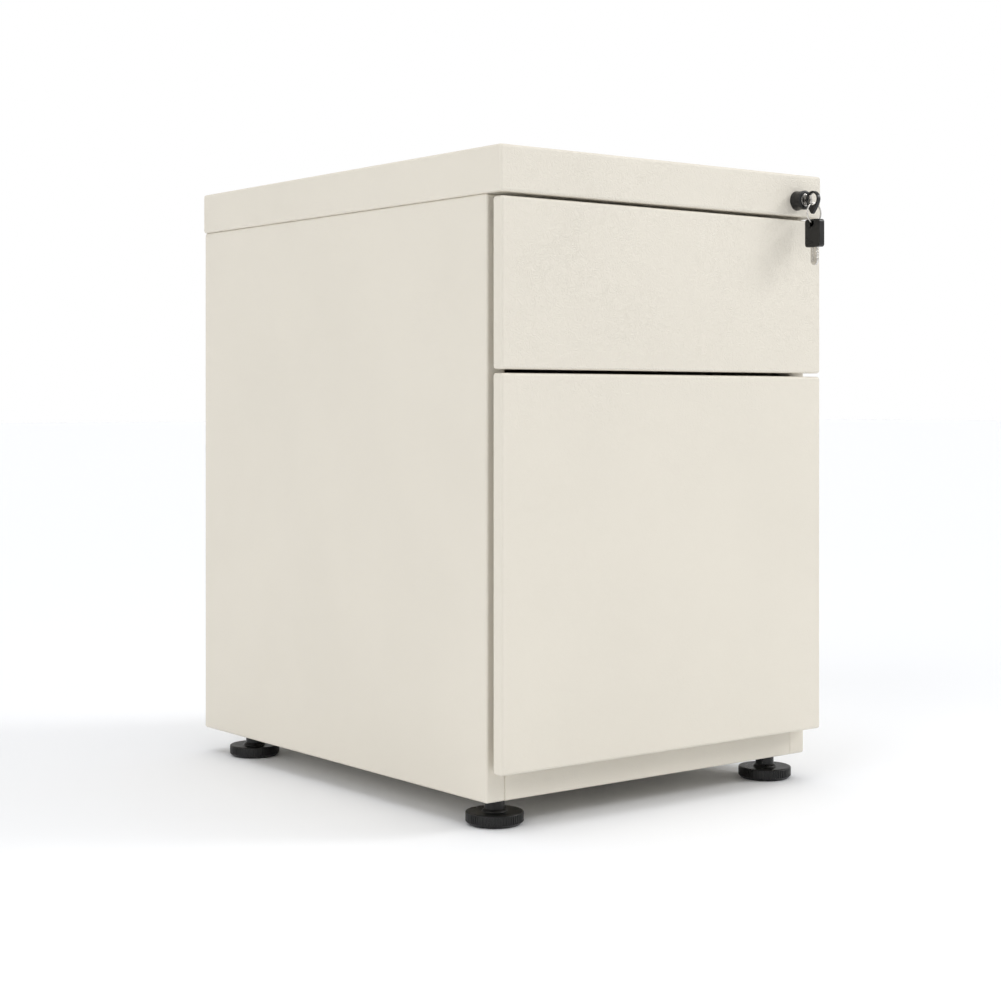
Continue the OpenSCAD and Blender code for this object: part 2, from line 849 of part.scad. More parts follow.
top_cover();
left_side_panel();
right_side_panel();
back_panel();
bottom_panel();
front_base_rail();
top_front_rail();
runner_brackets(-1);  // left_runner_brackets
runner_brackets(1);  // right_runner_brackets
plain_runner(-1);  // upper_left_runner
plain_runner(1);  // upper_right_runner
front_glide_blocks();
outer_rail(-1);  // lower_left_outer_rail
outer_rail(1);  // lower_right_outer_rail
lock_barrel();
lock_nut();
lock_bar_guides();
foot_sockets();
cover_screws();
back_rivets();
closing_buffers();
lock_core();
lock_cam();
lock_bar();
key_blade();
key_bow();
split_ring();
spare_key_blade();
spare_key_head();
front_skin(upper_low, upper_top);  // upper_front_skin
front_liner(upper_low, upper_top, upper_box_z, upper_box_h);  // upper_front_liner
upper_drawer_tray(upper_box_z, upper_box_h);
upper_box_front(upper_box_z, upper_box_h);
drawer_back(upper_box_z, upper_box_h);  // upper_drawer_back
plain_drawer_runner(-1);  // upper_left_drawer_runner
plain_drawer_runner(1);  // upper_right_drawer_runner
rear_glide_blocks();
lock_stud(upper_stud_z);  // upper_lock_stud
front_screws(upper_box_z, upper_box_h);  // upper_front_screws
front_skin(lower_low, lower_top);  // lower_front_skin
front_liner(lower_low, lower_top, lower_box_z, lower_box_h);  // lower_front_liner
lower_drawer_tray(lower_box_z, lower_box_h);
drawer_back(lower_box_z, lower_box_h);  // lower_drawer_back
inner_rail(-1);  // lower_left_inner_rail
inner_rail(1);  // lower_right_inner_rail
lock_stud(lower_stud_z);  // lower_lock_stud
front_screws(lower_box_z, lower_box_h);  // lower_front_screws
file_bars();
middle_rail(-1);  // lower_left_middle_rail
middle_rail(1);  // lower_right_middle_rail
outer_ball_cages();
inner_ball_cages();
foot_pad(-foot_x, foot_ys[0]);  // front_left_foot_pad
foot_pad(foot_x, foot_ys[0]);  // front_right_foot_pad
foot_pad(-foot_x, foot_ys[1]);  // back_left_foot_pad
foot_pad(foot_x, foot_ys[1]);  // back_right_foot_pad
foot_stud(-foot_x, foot_ys[0]);  // front_left_foot_stud
foot_stud(foot_x, foot_ys[0]);  // front_right_foot_stud
foot_stud(-foot_x, foot_ys[1]);  // back_left_foot_stud
foot_stud(foot_x, foot_ys[1]);  // back_right_foot_stud
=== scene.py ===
"""Filing pedestal: builds the visible pieces of a two-drawer metal pedestal around its frame."""

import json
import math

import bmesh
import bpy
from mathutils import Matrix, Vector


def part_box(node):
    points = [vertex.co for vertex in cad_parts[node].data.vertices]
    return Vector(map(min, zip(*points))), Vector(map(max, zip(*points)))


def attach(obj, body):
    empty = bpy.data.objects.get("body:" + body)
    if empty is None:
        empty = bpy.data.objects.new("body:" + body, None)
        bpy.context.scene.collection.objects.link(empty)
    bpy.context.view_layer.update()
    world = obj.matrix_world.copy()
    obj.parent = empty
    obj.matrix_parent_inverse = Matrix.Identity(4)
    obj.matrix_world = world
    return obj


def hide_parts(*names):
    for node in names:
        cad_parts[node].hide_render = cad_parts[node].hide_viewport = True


bl_info = {
    "name": "Filing Pedestal",
    "version": (1, 0, 0),
    "blender": (4, 5, 0),
    "location": "View3D > Sidebar > Pedestal",
    "description": "Builds a two-drawer metal filing pedestal with its lock, keys and feet",
    "category": "Add Mesh",
}

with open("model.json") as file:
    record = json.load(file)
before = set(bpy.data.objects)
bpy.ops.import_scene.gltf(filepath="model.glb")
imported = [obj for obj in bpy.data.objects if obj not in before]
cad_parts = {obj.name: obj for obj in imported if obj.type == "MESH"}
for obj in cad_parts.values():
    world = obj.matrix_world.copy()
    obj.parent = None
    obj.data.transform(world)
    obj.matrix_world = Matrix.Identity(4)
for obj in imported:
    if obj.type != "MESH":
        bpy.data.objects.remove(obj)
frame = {"nodes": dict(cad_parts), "record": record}

MM = 0.001
TINY = 1e-6
X, Y, Z = 0, 1, 2
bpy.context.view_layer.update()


# ---------------------------------------------------------------- properties


class PedestalSizes(bpy.types.PropertyGroup):
    """Sizes of the sheet work, the lock and the feet that a user may change."""

    bend_radius: bpy.props.FloatProperty(
        name="Bend radius", description="Outside radius of the folded sheet edges",
        default=2.5 * MM, min=1.5 * MM, max=4 * MM, unit="LENGTH", subtype="DISTANCE")
    cover_sheet: bpy.props.FloatProperty(
        name="Cover sheet", description="Sheet thickness of the top cover",
        default=1.5 * MM, min=0.8 * MM, max=2 * MM, unit="LENGTH", subtype="DISTANCE")
    panel_sheet: bpy.props.FloatProperty(
        name="Panel sheet", description="Sheet thickness of the panels and fronts",
        default=1.2 * MM, min=0.8 * MM, max=1.6 * MM, unit="LENGTH", subtype="DISTANCE")
    box_sheet: bpy.props.FloatProperty(
        name="Drawer sheet", description="Sheet thickness of the drawer boxes",
        default=1 * MM, min=0.8 * MM, max=1.4 * MM, unit="LENGTH", subtype="DISTANCE")
    rail_sheet: bpy.props.FloatProperty(
        name="Rail sheet", description="Sheet thickness of the runners",
        default=1.2 * MM, min=0.8 * MM, max=1.6 * MM, unit="LENGTH", subtype="DISTANCE")
    hem: bpy.props.FloatProperty(
        name="Hem", description="Width of the edge turned in behind a drawer front",
        default=14 * MM, min=8 * MM, max=16 * MM, unit="LENGTH", subtype="DISTANCE")
    wrinkle: bpy.props.FloatProperty(
        name="Wrinkle width", description="Width of the wrinkles in the powder coat",
        default=2 * MM, min=0.8 * MM, max=4 * MM, unit="LENGTH", subtype="DISTANCE")
    knurls: bpy.props.IntProperty(
        name="Knurls", description="Number of ridges round a foot's pad",
        default=64, min=24, max=96)


class PedestalColours(bpy.types.PropertyGroup):
    """Colours of the finishes that a user may change."""

    paint: bpy.props.FloatVectorProperty(
        name="Powder coat", description="Colour of the painted steel",
        default=(0.752, 0.708, 0.618), min=0, max=1, size=3, subtype="COLOR")
    plating: bpy.props.FloatVectorProperty(
        name="Zinc plating", description="Colour of the runners and fasteners",
        default=(0.62, 0.63, 0.65), min=0, max=1, size=3, subtype="COLOR")
    nickel: bpy.props.FloatVectorProperty(
        name="Nickel", description="Colour of the keys, the ring and the lock core",
        default=(0.66, 0.64, 0.61), min=0, max=1, size=3, subtype="COLOR")
    plastic: bpy.props.FloatVectorProperty(
        name="Black plastic", description="Colour of the feet, the lock barrel and the key heads",
        default=(0.009, 0.009, 0.009), min=0, max=1, size=3, subtype="COLOR")
    nylon: bpy.props.FloatVectorProperty(
        name="Nylon", description="Colour of the glide blocks",
        default=(0.78, 0.77, 0.72), min=0, max=1, size=3, subtype="COLOR")
    rubber: bpy.props.FloatVectorProperty(
        name="Rubber", description="Colour of the closing buffers",
        default=(0.02, 0.02, 0.02), min=0, max=1, size=3, subtype="COLOR")


def sizes():
    return bpy.context.scene.pedestal_sizes


def colours():
    return bpy.context.scene.pedestal_colours


# ---------------------------------------------------------------- materials


def add_node(tree, kind, inputs=None, **settings):
    """A shader node with its settings made and its inputs set or linked."""
    node = tree.nodes.new(kind)
    for name, value in settings.items():
        setattr(node, name, value)
    for name, value in (inputs or {}).items():
        if isinstance(value, bpy.types.NodeSocket):
            tree.links.new(value, node.inputs[name])
        else:
            node.inputs[name].default_value = value
    return node


def principled(name):
    """A new material, its node tree, its shader and its object coordinates."""
    material = bpy.data.materials.new(f"{name}_finish")
    material.use_nodes = True
    tree = material.node_tree
    shader = tree.nodes["Principled BSDF"]
    place = tree.nodes.new("ShaderNodeTexCoord").outputs["Object"]
    return material, tree, shader, place


def noise(tree, place, scale, detail=2.0, roughness=0.5, distortion=0.0):
    node = add_node(tree, "ShaderNodeTexNoise", {
        "Vector": place, "Scale": scale, "Detail": detail,
        "Roughness": roughness, "Distortion": distortion})
    return node.outputs["Fac"]


def mapped(tree, value, low, high, to_low, to_high, smooth=False):
    node = add_node(tree, "ShaderNodeMapRange", {
        "Value": value, "From Min": low, "From Max": high,
        "To Min": to_low, "To Max": to_high})
    if smooth:
        node.interpolation_type = "SMOOTHSTEP"
    return node.outputs["Result"]


def maths(tree, operation, first, second=0.0):
    node = tree.nodes.new("ShaderNodeMath")
    node.operation = operation
    for socket, value in zip(node.inputs, (first, second)):
        if isinstance(value, bpy.types.NodeSocket):
            tree.links.new(value, socket)
        else:
            socket.default_value = value
    return node.outputs[0]


def mixed(tree, factor, first, second):
    """A blend of two colours by a factor."""
    node = tree.nodes.new("ShaderNodeMix")
    node.data_type = "RGBA"
    tree.links.new(factor, node.inputs["Factor"])
    for socket, value in zip(node.inputs[6:8], (first, second)):
        socket.default_value = (*value, 1.0)
    return node.outputs[2]


def bump(tree, height, strength, distance, under=None):
    inputs = {"Height": height, "Strength": strength, "Distance": distance}
    if under is not None:
        inputs["Normal"] = under
    return add_node(tree, "ShaderNodeBump", inputs).outputs["Normal"]


def shade(colour, factor):
    return tuple(min(1.0, c * factor) for c in colour)


def stretched(tree, place, scale):
    """The same coordinates, stretched so that a pattern runs along one axis."""
    return add_node(tree, "ShaderNodeMapping", {
        "Vector": place, "Scale": scale}).outputs["Vector"]


def powder_coat():
    """Cream powder coat with fine worm-like wrinkles and a satin sheen."""
    material, tree, shader, place = principled("cream_powder_coat")
    width = sizes().wrinkle
    paint = colours().paint
    field = noise(tree, place, 0.24 / width, 1.5, 0.55, 0.9)
    bands = maths(tree, "PINGPONG", maths(tree, "MULTIPLY", field, 7.0), 0.5)
    ridge = mapped(tree, bands, 0.04, 0.42, 0.0, 1.0, True)
    patches = mapped(tree, noise(tree, place, 0.05 / width, 2.0), 0.35, 0.68, 0.55, 1.0, True)
    parts = add_node(tree, "ShaderNodeSeparateXYZ", {"Vector": place}).outputs
    up = mapped(tree, parts["Z"], 0.26, 0.42, 0.45, 1.0, True)
    inboard = mapped(tree, parts["X"], -0.1845, -0.181, 0.3, 1.0, True)
    reach = maths(tree, "MULTIPLY", up, inboard)
    worms = maths(tree, "MULTIPLY", maths(tree, "MULTIPLY", ridge, patches), reach)
    peel = noise(tree, place, 1.2 / width, 3.0, 0.6)
    soft = bump(tree, peel, 0.30, 0.10 * MM)
    normal = bump(tree, worms, 0.6, 0.24 * MM, soft)
    tone = mapped(tree, noise(tree, place, 7.0, 3.0), 0.3, 0.7, 0.0, 1.0, True)
    colour = mixed(tree, tone, shade(paint, 0.985), shade(paint, 1.01))
    rough = mapped(tree, noise(tree, place, 40.0, 4.0), 0.3, 0.7, 0.44, 0.54)
    tree.links.new(colour, shader.inputs["Base Color"])
    tree.links.new(rough, shader.inputs["Roughness"])
    tree.links.new(normal, shader.inputs["Normal"])
    shader.inputs["Specular IOR Level"].default_value = 0.42
    return material


def zinc_plate():
    """Bright zinc plate with faint drawing lines along the runners."""
    material, tree, shader, place = principled("zinc_plated_steel")
    plating = colours().plating
    lines = noise(tree, stretched(tree, place, (900.0, 14.0, 900.0)), 1.0, 3.0)
    cloud = noise(tree, place, 60.0, 4.0, 0.6)
    tone = mapped(tree, cloud, 0.32, 0.68, 0.0, 1.0, True)
    tree.links.new(mixed(tree, tone, shade(plating, 0.86), shade(plating, 1.08)),
                   shader.inputs["Base Color"])
    rough = maths(tree, "ADD", mapped(tree, lines, 0.3, 0.7, 0.0, 0.10),
                  mapped(tree, cloud, 0.3, 0.7, 0.24, 0.34))
    tree.links.new(rough, shader.inputs["Roughness"])
    tree.links.new(bump(tree, lines, 0.12, 0.04 * MM), shader.inputs["Normal"])
    shader.inputs["Metallic"].default_value = 1.0
    return material


def nickel_plate():
    """Soft glossy nickel with fine handling scratches."""
    material, tree, shader, place = principled("nickel_plate")
    nickel = colours().nickel
    scratches = noise(tree, stretched(tree, place, (2600.0, 2600.0, 160.0)), 1.0, 2.0)
    cloud = noise(tree, place, 320.0, 3.0)
    tone = mapped(tree, cloud, 0.35, 0.65, 0.0, 1.0, True)
    tree.links.new(mixed(tree, tone, shade(nickel, 0.9), shade(nickel, 1.06)),
                   shader.inputs["Base Color"])
    tree.links.new(mapped(tree, scratches, 0.3, 0.7, 0.17, 0.30), shader.inputs["Roughness"])
    tree.links.new(bump(tree, scratches, 0.10, 0.02 * MM), shader.inputs["Normal"])
    shader.inputs["Metallic"].default_value = 1.0
    return material


def black_plastic():
    """Moulded black plastic with a fine spark-eroded grain."""
    material, tree, shader, place = principled("black_plastic")
    plastic = colours().plastic
    grain = noise(tree, place, 1500.0, 3.0, 0.6)
    cloud = noise(tree, place, 90.0, 3.0)
    tone = mapped(tree, cloud, 0.3, 0.7, 0.0, 1.0, True)
    tree.links.new(mixed(tree, tone, shade(plastic, 0.85), shade(plastic, 1.2)),
                   shader.inputs["Base Color"])
    tree.links.new(mapped(tree, cloud, 0.3, 0.7, 0.26, 0.35), shader.inputs["Roughness"])
    tree.links.new(bump(tree, grain, 0.12, 0.03 * MM), shader.inputs["Normal"])
    shader.inputs["Specular IOR Level"].default_value = 0.38
    return material


def white_nylon():
    """Waxy natural nylon."""
    material, tree, shader, place = principled("white_nylon")
    nylon = colours().nylon
    cloud = noise(tree, place, 120.0, 3.0)
    tone = mapped(tree, cloud, 0.3, 0.7, 0.0, 1.0, True)
    tree.links.new(mixed(tree, tone, shade(nylon, 0.94), shade(nylon, 1.03)),
                   shader.inputs["Base Color"])
    tree.links.new(mapped(tree, cloud, 0.3, 0.7, 0.30, 0.42), shader.inputs["Roughness"])
    tree.links.new(bump(tree, noise(tree, place, 900.0), 0.1, 0.05 * MM),
                   shader.inputs["Normal"])
    shader.inputs["Subsurface Weight"].default_value = 0.15
    shader.inputs["Subsurface Radius"].default_value = (1.0, 0.9, 0.7)
    shader.inputs["Subsurface Scale"].default_value = 1.5 * MM
    return material


def black_rubber():
    """Matt rubber with a dusty bloom."""
    material, tree, shader, place = principled("black_rubber")
    rubber = colours().rubber
    cloud = noise(tree, place, 260.0, 4.0)
    tone = mapped(tree, cloud, 0.3, 0.7, 0.0, 1.0, True)
    tree.links.new(mixed(tree, tone, shade(rubber, 0.8), shade(rubber, 1.6)),
                   shader.inputs["Base Color"])
    tree.links.new(mapped(tree, cloud, 0.3, 0.7, 0.7, 0.85), shader.inputs["Roughness"])
    tree.links.new(bump(tree, cloud, 0.2, 0.1 * MM), shader.inputs["Normal"])
    return material


FINISHES = {
    "cream_powder_coat": powder_coat,
    "zinc_plated_steel": zinc_plate,
    "nickel_plate": nickel_plate,
    "black_plastic": black_plastic,
    "white_nylon": white_nylon,
    "black_rubber": black_rubber,
}


def finish_for(slot):
    """The material of a slot, made the first time that it is asked for."""
    return bpy.data.materials.get(f"{slot}_finish") or FINISHES[slot]()


# ---------------------------------------------------------------- mesh helpers


def add_piece(bm, name, body, slot, *nodes, sharp=35.0, edge=0.0):
    """Makes a mesh object of a bmesh, gives it its finish and rides it on a body."""
    bmesh.ops.remove_doubles(bm, verts=bm.verts[:], dist=TINY)
    bmesh.ops.recalc_face_normals(bm, faces=bm.faces[:])
    mesh = bpy.data.meshes.new(name)
    bm.to_mesh(mesh)
    bm.free()
    mesh.shade_smooth()
    mesh.set_sharp_from_angle(angle=math.radians(sharp))
    mesh.materials.append(finish_for(slot))
    piece = bpy.data.objects.new(name, mesh)
    bpy.context.scene.collection.objects.link(piece)
    if edge:
        rounding = piece.modifiers.new("Edge rounding", "BEVEL")
        rounding.width = edge
        rounding.segments = 2
        rounding.limit_method = "ANGLE"
        rounding.angle_limit = math.radians(50)
        rounding.use_clamp_overlap = True
    weighted = piece.modifiers.new("Weighted normals", "WEIGHTED_NORMAL")
    weighted.keep_sharp = True
    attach(piece, body)
    if nodes:
        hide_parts(*nodes)


def add_box(bm, low, high):
    """A box from its low corner to its high corner, returned as its vertices."""
    low, high = Vector(low), Vector(high)
    size = high - low
    matrix = Matrix.Translation((low + high) / 2) @ Matrix.Diagonal((*size, 1.0))
    return bmesh.ops.create_cube(bm, size=1.0, matrix=matrix)["verts"]


def bevel_edges(bm, edges, radius, segments):
    return bmesh.ops.bevel(
        bm, geom=edges, offset=radius, offset_type="OFFSET", segments=segments,
        profile=0.5, affect="EDGES", clamp_overlap=True, material=-1)


def flat_faces(bm, axis, at):
    return [f for f in bm.faces if all(abs(v.co[axis] - at) < TINY for v in f.verts)]


def faces_within(bm, axis, at, low, high):
    """The flat faces at a height on an axis whose middles lie in a rectangle."""
    others = [i for i in (X, Y, Z) if i != axis]
    found = []
    for face in flat_faces(bm, axis, at):
        middle = face.calc_center_median()
        if all(a < middle[i] < b for i, a, b in zip(others, low, high)):
            found.append(face)
    return found


def mark_out(bm, axis, at, low, high):
    """Cuts a rectangle's outline into the flat faces at a height on an axis."""
    others = [i for i in (X, Y, Z) if i != axis]
    for corner in (low, high):
        for other, value in zip(others, corner):
            faces = flat_faces(bm, axis, at)
            geom = list({v for f in faces for v in f.verts})
            geom += list({e for f in faces for e in f.edges}) + faces
            normal, point = Vector(), Vector()
            normal[other] = 1.0
            point[other] = value
            bmesh.ops.bisect_plane(bm, geom=geom, dist=TINY, plane_co=point, plane_no=normal)
    return faces_within(bm, axis, at, low, high)


def cut_window(bm, axis, at, low, high):
    bmesh.ops.delete(bm, geom=mark_out(bm, axis, at, low, high), context="FACES")


def cut_round_hole(bm, axis, at, centre, radius, segments=32):
    """Opens a round hole in the flat faces at a height on an axis."""
    others = [i for i in (X, Y, Z) if i != axis]
    half = radius * 1.4
    low = [c - half for c in centre]
    high = [c + half for c in centre]
    faces = mark_out(bm, axis, at, low, high)
    rim = {e for f in faces for e in f.edges}
    rim = [e for e in rim if sum(f in faces for f in e.link_faces) == 1]
    bmesh.ops.delete(bm, geom=faces, context="FACES")
    bmesh.ops.subdivide_edges(bm, edges=rim, cuts=segments // 4 - 1)
    rim = [e for e in bm.edges if e.is_boundary and all(
        abs(v.co[axis] - at) < TINY and all(
            a - TINY < v.co[i] < b + TINY for i, a, b in zip(others, low, high))
        for v in e.verts)]
    middle = list(centre)
    middle.insert(axis, at)
    spin = {X: Matrix.Rotation(math.pi / 2, 4, "Y"), Y: Matrix.Rotation(math.pi / 2, 4, "X"),
            Z: Matrix.Identity(4)}[axis]
    matrix = Matrix.Translation(middle) @ spin @ Matrix.Rotation(math.pi / 4, 4, "Z")
    circle = bmesh.ops.create_circle(bm, segments=segments, radius=radius, matrix=matrix)
    ring = {e for v in circle["verts"] for e in v.link_edges}
    bmesh.ops.bridge_loops(bm, edges=rim + list(ring))


def folded_box(low, high, radius, segments=5):
    """A closed box whose twelve edges are bends."""
    bm = bmesh.new()
    add_box(bm, low, high)
    bevel_edges(bm, bm.edges[:], radius, segments)
    return bm


def draw_out(bm, faces, vec):
    """Extrudes faces along a vector and leaves the first ones in place."""
    drawn = bmesh.ops.extrude_face_region(bm, geom=faces)
    moved = [g for g in drawn["geom"] if isinstance(g, bmesh.types.BMVert)]
    bmesh.ops.translate(bm, verts=moved, vec=vec)


def sink(bm, faces, vec):
    """Moves faces along a vector and walls the step round them."""
    draw_out(bm, faces, vec)
    bmesh.ops.delete(bm, geom=faces, context="FACES_ONLY")


def thicken(bm, thickness):
    """Gives a shell whose faces point outwards its wall, on the inside."""
    bmesh.ops.recalc_face_normals(bm, faces=bm.faces[:])
    bmesh.ops.solidify(bm, geom=bm.faces[:], thickness=thickness)


def folded_strip(bm, axis, start, end, path, radius, thickness, segments=4):
    """A sheet strip: the path of its outside face, bent at its corners, drawn out along
    an axis and thickened to the left of the path's direction."""
    others = [i for i in (X, Y, Z) if i != axis]
    strip = bmesh.new()
    for point in path:
        place = Vector()
        place[axis] = start
        place[others[0]], place[others[1]] = point
        strip.verts.new(place)
    strip.verts.ensure_lookup_table()
    for first, second in zip(strip.verts[:-1], strip.verts[1:]):
        strip.edges.new((first, second))
    if radius:
        bmesh.ops.bevel(
            strip, geom=strip.verts[1:-1], offset=radius, offset_type="OFFSET",
            segments=segments, profile=0.5, affect="VERTICES", material=-1)
    drawn = bmesh.ops.extrude_edge_only(strip, edges=strip.edges[:])
    along = Vector()
    along[axis] = end - start
    moved = [g for g in drawn["geom"] if isinstance(g, bmesh.types.BMVert)]
    bmesh.ops.translate(strip, verts=moved, vec=along)
    # the first wall's face is pointed to the right of the path before it is thickened
    strip.faces.ensure_lookup_table()
    bmesh.ops.recalc_face_normals(strip, faces=strip.faces[:])
    first, second = Vector(path[0]), Vector(path[1])
    run = (second - first).normalized()
    right = Vector()
    right[others[0]], right[others[1]] = run.y, -run.x
    nearest = min(strip.faces, key=lambda f: (
        Vector((f.calc_center_median()[others[0]], f.calc_center_median()[others[1]]))
        - (first + second) / 2).length)
    if nearest.normal.dot(right) < 0:
        bmesh.ops.reverse_faces(strip, faces=strip.faces[:])
    bmesh.ops.solidify(strip, geom=strip.faces[:], thickness=thickness)
    merge_into(bm, strip)


def merge_into(bm, other):
    """Adds another bmesh's geometry to bm and frees it."""
    mesh = bpy.data.meshes.new("part")
    other.to_mesh(mesh)
    other.free()
    bm.from_mesh(mesh)
    bpy.data.meshes.remove(mesh)


def lathe(bm, profile, matrix, steps=48):
    """Turns a profile of (radius, height) round local Z and places it with a matrix."""
    part = bmesh.new()
    verts = [part.verts.new((r, 0.0, h)) for r, h in profile]
    edges = [part.edges.new(pair) for pair in zip(verts[:-1], verts[1:])]
    bmesh.ops.spin(
        part, geom=verts + edges, cent=(0, 0, 0), axis=(0, 0, 1), dvec=(0, 0, 0),
        angle=math.tau, steps=steps, use_merge=True, use_duplicate=False)
    bmesh.ops.remove_doubles(part, verts=part.verts[:], dist=TINY)
    bmesh.ops.transform(part, matrix=matrix, verts=part.verts[:])
    bmesh.ops.recalc_face_normals(part, faces=part.faces[:])
    merge_into(bm, part)


def facing(point, direction):
    """A matrix that puts local Z along a direction, with its origin at a point."""
    turn = Vector((0, 0, 1)).rotation_difference(Vector(direction)).to_matrix().to_4x4()
    return Matrix.Translation(point) @ turn


def middle_of(node):
    low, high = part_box(node)
    return (low + high) / 2


# ---------------------------------------------------------------- carcass


class PEDESTAL_OT_cover(bpy.types.Operator):
    """Folds the top cover, with its bottom flanges, its lock hole and the bar's slot"""

    bl_idname = "pedestal.cover"
    bl_label = "Top cover"

    def execute(self, context):
        low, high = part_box("top_cover")
        side_flange = 13 * MM
        front_flange = 40 * MM
        slot_room = 2 * MM
        slot_width = 14 * MM
        lock_hole = 8.2 * MM
        bm = folded_box(low, high, sizes().bend_radius)
        cut_window(bm, Z, low.z, (low.x + side_flange, low.y + front_flange),
                   (high.x - side_flange, high.y - side_flange))
        bar_low, bar_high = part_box("lock_bar")
        cut_window(bm, Z, low.z,
                   (bar_high.x - slot_width, bar_low.y - slot_room),
                   (bar_high.x + slot_room, bar_high.y + slot_room))
        lock = middle_of("lock_barrel")
        cut_round_hole(bm, Y, low.y, (lock.x, lock.z), lock_hole)
        thicken(bm, sizes().cover_sheet)
        add_piece(bm, "cover_shell", "carcass", "cream_powder_coat", "top_cover",
                  edge=0.25 * MM)
        return {"FINISHED"}


class PEDESTAL_OT_panels(bpy.types.Operator):
    """Folds the side panels and the two front rails, and makes the back sheet as a plain box"""

    bl_idname = "pedestal.panels"
    bl_label = "Side, back and rail panels"

    def execute(self, context):
        for side in ("left", "right"):
            self.side_panel(side)
        self.back_sheet()
        self.front_rails()
        return {"FINISHED"}

    def side_panel(self, side):
        low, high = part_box(f"{side}_side_panel")
        lip = 14 * MM
        flange = 20 * MM
        # the lips stand 2 mm short of the node's box, which its top flange reaches
        if side == "left":
            outer, inner = low.x, low.x + flange
        else:
            outer, inner = high.x, high.x - flange
        bm = folded_box((min(outer, inner), low.y, low.z), (max(outer, inner), high.y, high.z),
                        sizes().bend_radius)
        cut_window(bm, X, inner, (low.y + lip, low.z - lip), (high.y + lip, high.z + lip))
        # the top flange starts behind the lock bar
        cut_window(bm, Z, high.z, (min(outer, inner) - lip, low.y - lip),
                   (max(outer, inner) + lip, low.y + flange))
        if side == "right":
            self.finger_windows(bm, inner)
        thicken(bm, sizes().panel_sheet)
        add_piece(bm, f"{side}_side_shell", "carcass", "cream_powder_coat",
                  f"{side}_side_panel", edge=0.2 * MM)

    def finger_windows(self, bm, inner):
        """Openings in the lip for the lock bar's fingers, from each stud's height."""
        bar_low, bar_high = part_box("lock_bar")
        room, below, above = 1 * MM, 11.5 * MM, 6 * MM
        for drawer in ("upper", "lower"):
            stud = middle_of(f"{drawer}_lock_stud").z
            cut_window(bm, X, inner, (bar_low.y - room, stud - below),
                       (bar_high.y + room, stud + above))

    def back_sheet(self):
        low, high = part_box("back_panel")
        bm = bmesh.new()
        add_box(bm, low, high)
        add_piece(bm, "back_sheet", "carcass", "cream_powder_coat", "back_panel",
                  edge=0.2 * MM)

    def front_rails(self):
        tuck = 0.8 * MM      # how far the rails' ends reach into the side panels' bends
        for node, piece, bottom_depth, top_depth in (
                ("front_base_rail", "base_rail", 16 * MM, 14 * MM),
                ("top_front_rail", "cover_rail", 14 * MM, 19.8 * MM)):
            low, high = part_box(node)
            bm = bmesh.new()
            path = [(low.y + top_depth, high.z), (low.y, high.z),
                    (low.y, low.z), (low.y + bottom_depth, low.z)]
            folded_strip(bm, X, low.x - tuck, high.x + tuck, path, 2 * MM, sizes().panel_sheet)
            add_piece(bm, piece, "carcass", "cream_powder_coat", node, edge=0.2 * MM)


class PEDESTAL_OT_fasteners(bpy.types.Operator):
    """Turns the rivets in the back, the buffers and the drawer-front screws"""

    bl_idname = "pedestal.fasteners"
    bl_label = "Rivets, buffers and screws"

    def execute(self, context):
        self.rivets()
        self.buffers()
        for drawer in ("upper", "lower"):
            self.front_screws(drawer)
        return {"FINISHED"}

    def rivets(self):
        low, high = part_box("back_rivets")
        head = 4 * MM
        rise = 0.8 * MM
        shank = 3 * MM
        seat = high.y - rise
        dome = [(0, rise), (head * 0.45, rise * 0.93), (head * 0.8, rise * 0.6),
                (head, 0.05 * MM), (head, 0), (head * 0.45, 0), (head * 0.45, -shank),
                (0, -shank)]
        bm = bmesh.new()
        rows = 4
        for x in (low.x + head, high.x - head):
            for row in range(rows):
                z = low.z + head + row * (high.z - low.z - 2 * head) / (rows - 1)
                lathe(bm, dome, facing((x, seat, z), (0, 1, 0)), steps=24)
        add_piece(bm, "rivet_heads", "carcass", "zinc_plated_steel", "back_rivets")

    def buffers(self):
        low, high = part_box("closing_buffers")
        inset = 4 * MM       # from the node's box to each button's middle
        radius = 2.6 * MM
        depth = high.y - low.y
        button = [(0, depth), (radius * 0.5, depth - 0.1 * MM), (radius * 0.8, depth - 0.6 * MM),
                  (radius * 0.95, depth - 2 * MM), (radius, 1 * MM), (radius, 0), (0, 0)]
        bm = bmesh.new()
        for x in (low.x + inset, high.x - inset):
            for z in (low.z + inset, high.z - inset):
                lathe(bm, button, facing((x, high.y, z), (0, -1, 0)), steps=24)
        add_piece(bm, "buffer_buttons", "carcass", "black_rubber", "closing_buffers")

    def front_screws(self, drawer):
        node = f"{drawer}_front_screws"
        low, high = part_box(node)
        head = 4 * MM
        rise = 2.2 * MM
        recess = 1.3 * MM
        shank = [(0, 0), (2 * MM, 0), (2 * MM, -5 * MM), (0, -6 * MM)]
        pan = [(0, rise - recess), (head * 0.42, rise - recess), (head * 0.5, rise),
               (head * 0.72, rise * 0.94), (head * 0.95, rise * 0.6), (head, rise * 0.3),
               (head, 0), (0, 0)]
        bm = bmesh.new()
        for x in (low.x + head, high.x - head):
            for z in (low.z + head, high.z - head):
                seat = facing((x, high.y - rise, z), (0, 1, 0))
                lathe(bm, pan, seat, steps=24)
                lathe(bm, shank, seat, steps=16)
        add_piece(bm, f"{drawer}_screw_heads", f"{drawer}_drawer", "zinc_plated_steel", node)


# ---------------------------------------------------------------- drawers


